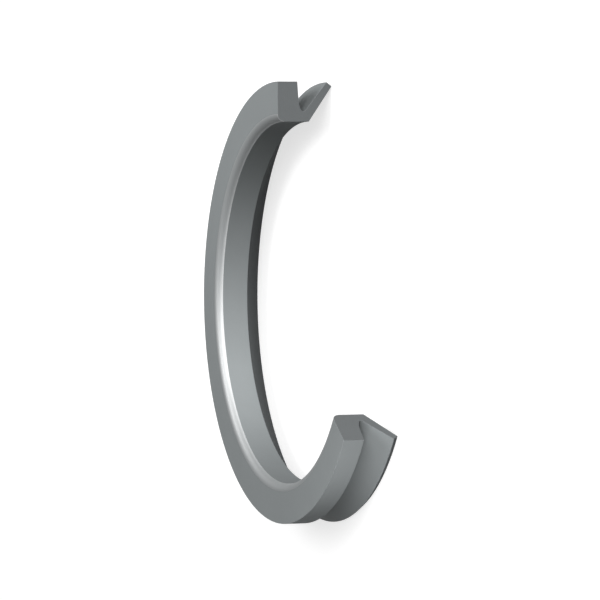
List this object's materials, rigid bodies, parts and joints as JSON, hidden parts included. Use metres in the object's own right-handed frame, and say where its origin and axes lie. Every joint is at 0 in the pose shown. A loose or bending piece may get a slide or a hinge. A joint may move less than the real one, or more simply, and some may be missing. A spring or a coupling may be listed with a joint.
{
  "type": "v-ring seal",
  "caption": "Rubber V-ring shaft seal cut open to show its section: a stout body that grips the shaft, a thin hinge, and a conical lip that wipes a face square to the shaft.",
  "frame": {"origin": "on the ring's axis, in the plane of the lip's sealing edge, which is also the plane the ring rests on", "axes": "+Z along the ring's axis from the lip towards the flat heel; +X from the axis through the middle of the cut-out sector"},
  "size_m": [0.0401, 0.055, 0.0072],
  "materials": {
    "rubber": "satin moulded grey rubber, cut ends finely grained"
  },
  "bodies": {
    "root": {"v_ring": "rubber"}
  },
  "joints": []
}
